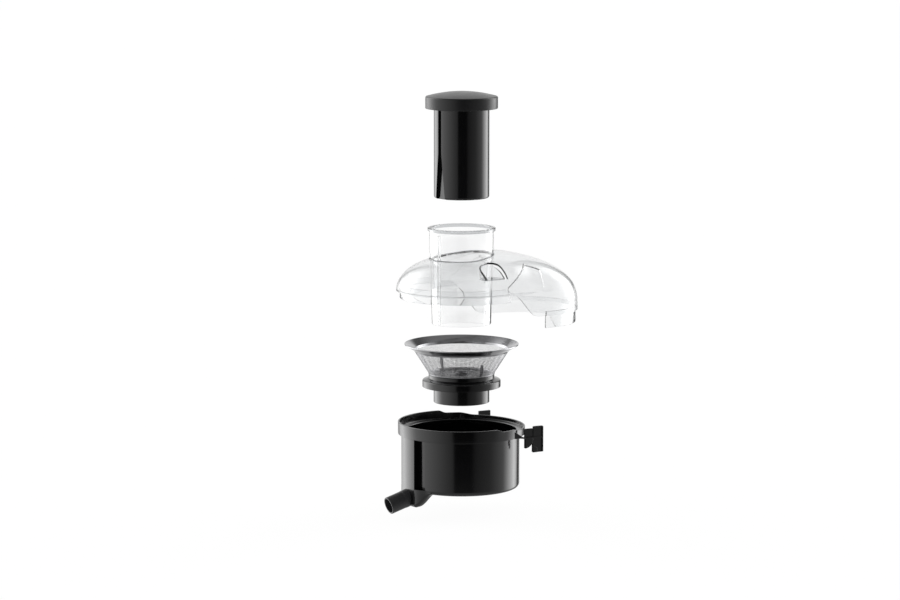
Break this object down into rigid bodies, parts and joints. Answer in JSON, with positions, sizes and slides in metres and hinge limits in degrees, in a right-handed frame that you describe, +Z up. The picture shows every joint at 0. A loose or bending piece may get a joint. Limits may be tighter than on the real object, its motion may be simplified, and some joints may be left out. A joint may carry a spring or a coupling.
{
  "type": "centrifugal juicer unit",
  "caption": "Juicing unit of a centrifugal juicer, drawn apart: pusher, clear lid with feed chute and pulp hood, filter basket, and juice bowl with spout.",
  "frame": {"origin": "on the common axis, in the plane of the bowl's seat, at the drive socket", "axes": "+Z up along the common axis, +X towards the pulp outlet, spout at -X"},
  "size_m": [0.2731, 0.1702, 0.5452],
  "materials": {
    "pusher_cap": "satin",
    "pusher_body": "gloss",
    "lid_cover": "clear moulded plastic",
    "feed_chute": "clear moulded plastic",
    "basket_rim": "polished stainless",
    "filter_mesh": "fine stainless screen",
    "grater_disc": "stamped stainless",
    "pulp_fins": "stamped stainless",
    "disc_centre_cap": "polished stainless",
    "hub_screws": "plain steel",
    "basket_collar": "gloss",
    "drive_hub": "gloss",
    "coupling_insert": "turned brass",
    "drive_spindle": "ground steel",
    "drive_dog": "moulded nylon",
    "retaining_clip": "spring steel",
    "spindle_bush_upper": "sintered bronze",
    "spindle_bush_lower": "sintered bronze",
    "shaft_seal": "nitrile rubber",
    "bearing_carrier": "turned aluminium",
    "carrier_screws": "plain steel",
    "juice_bowl": "gloss",
    "juice_spout": "satin"
  },
  "bodies": {
    "bowl": {"juice_bowl": "juice_bowl", "juice_spout": "juice_spout", "bearing_carrier": "bearing_carrier", "carrier_screws": "carrier_screws", "spindle_bush_upper": "spindle_bush_upper", "spindle_bush_lower": "spindle_bush_lower", "shaft_seal": "shaft_seal"},
    "drive": {"drive_spindle": "drive_spindle", "drive_dog": "drive_dog", "retaining_clip": "retaining_clip"},
    "basket": {"basket_rim": "basket_rim", "filter_mesh": "filter_mesh", "grater_disc": "grater_disc", "pulp_fins": "pulp_fins", "disc_centre_cap": "disc_centre_cap", "hub_screws": "hub_screws", "basket_collar": "basket_collar", "drive_hub": "drive_hub", "coupling_insert": "coupling_insert"},
    "lid": {"lid_cover": "lid_cover", "feed_chute": "feed_chute"},
    "pusher": {"pusher_cap": "pusher_cap", "pusher_body": "pusher_body"}
  },
  "joints": [
    {"name": "basket_spin", "type": "hinge", "parent": "bowl", "child": "drive", "pos_m": [0, 0, 0], "axis": [0, 0, 1], "continuous": true},
    {"name": "basket_lift", "type": "slide", "parent": "drive", "child": "basket", "axis": [0, 0, 1], "range_m": [-0.10812, 0]},
    {"name": "lid_lift", "type": "slide", "parent": "bowl", "child": "lid", "axis": [0, 0, 1], "range_m": [-0.173, 0]},
    {"name": "pusher_slide", "type": "slide", "parent": "lid", "child": "pusher", "axis": [0, 0, 1], "range_m": [-0.1546, 0]}
  ],
  "couplings": [
    {"joint": "basket_lift", "follows": "lid_lift", "ratio": 0.625}
  ]
}
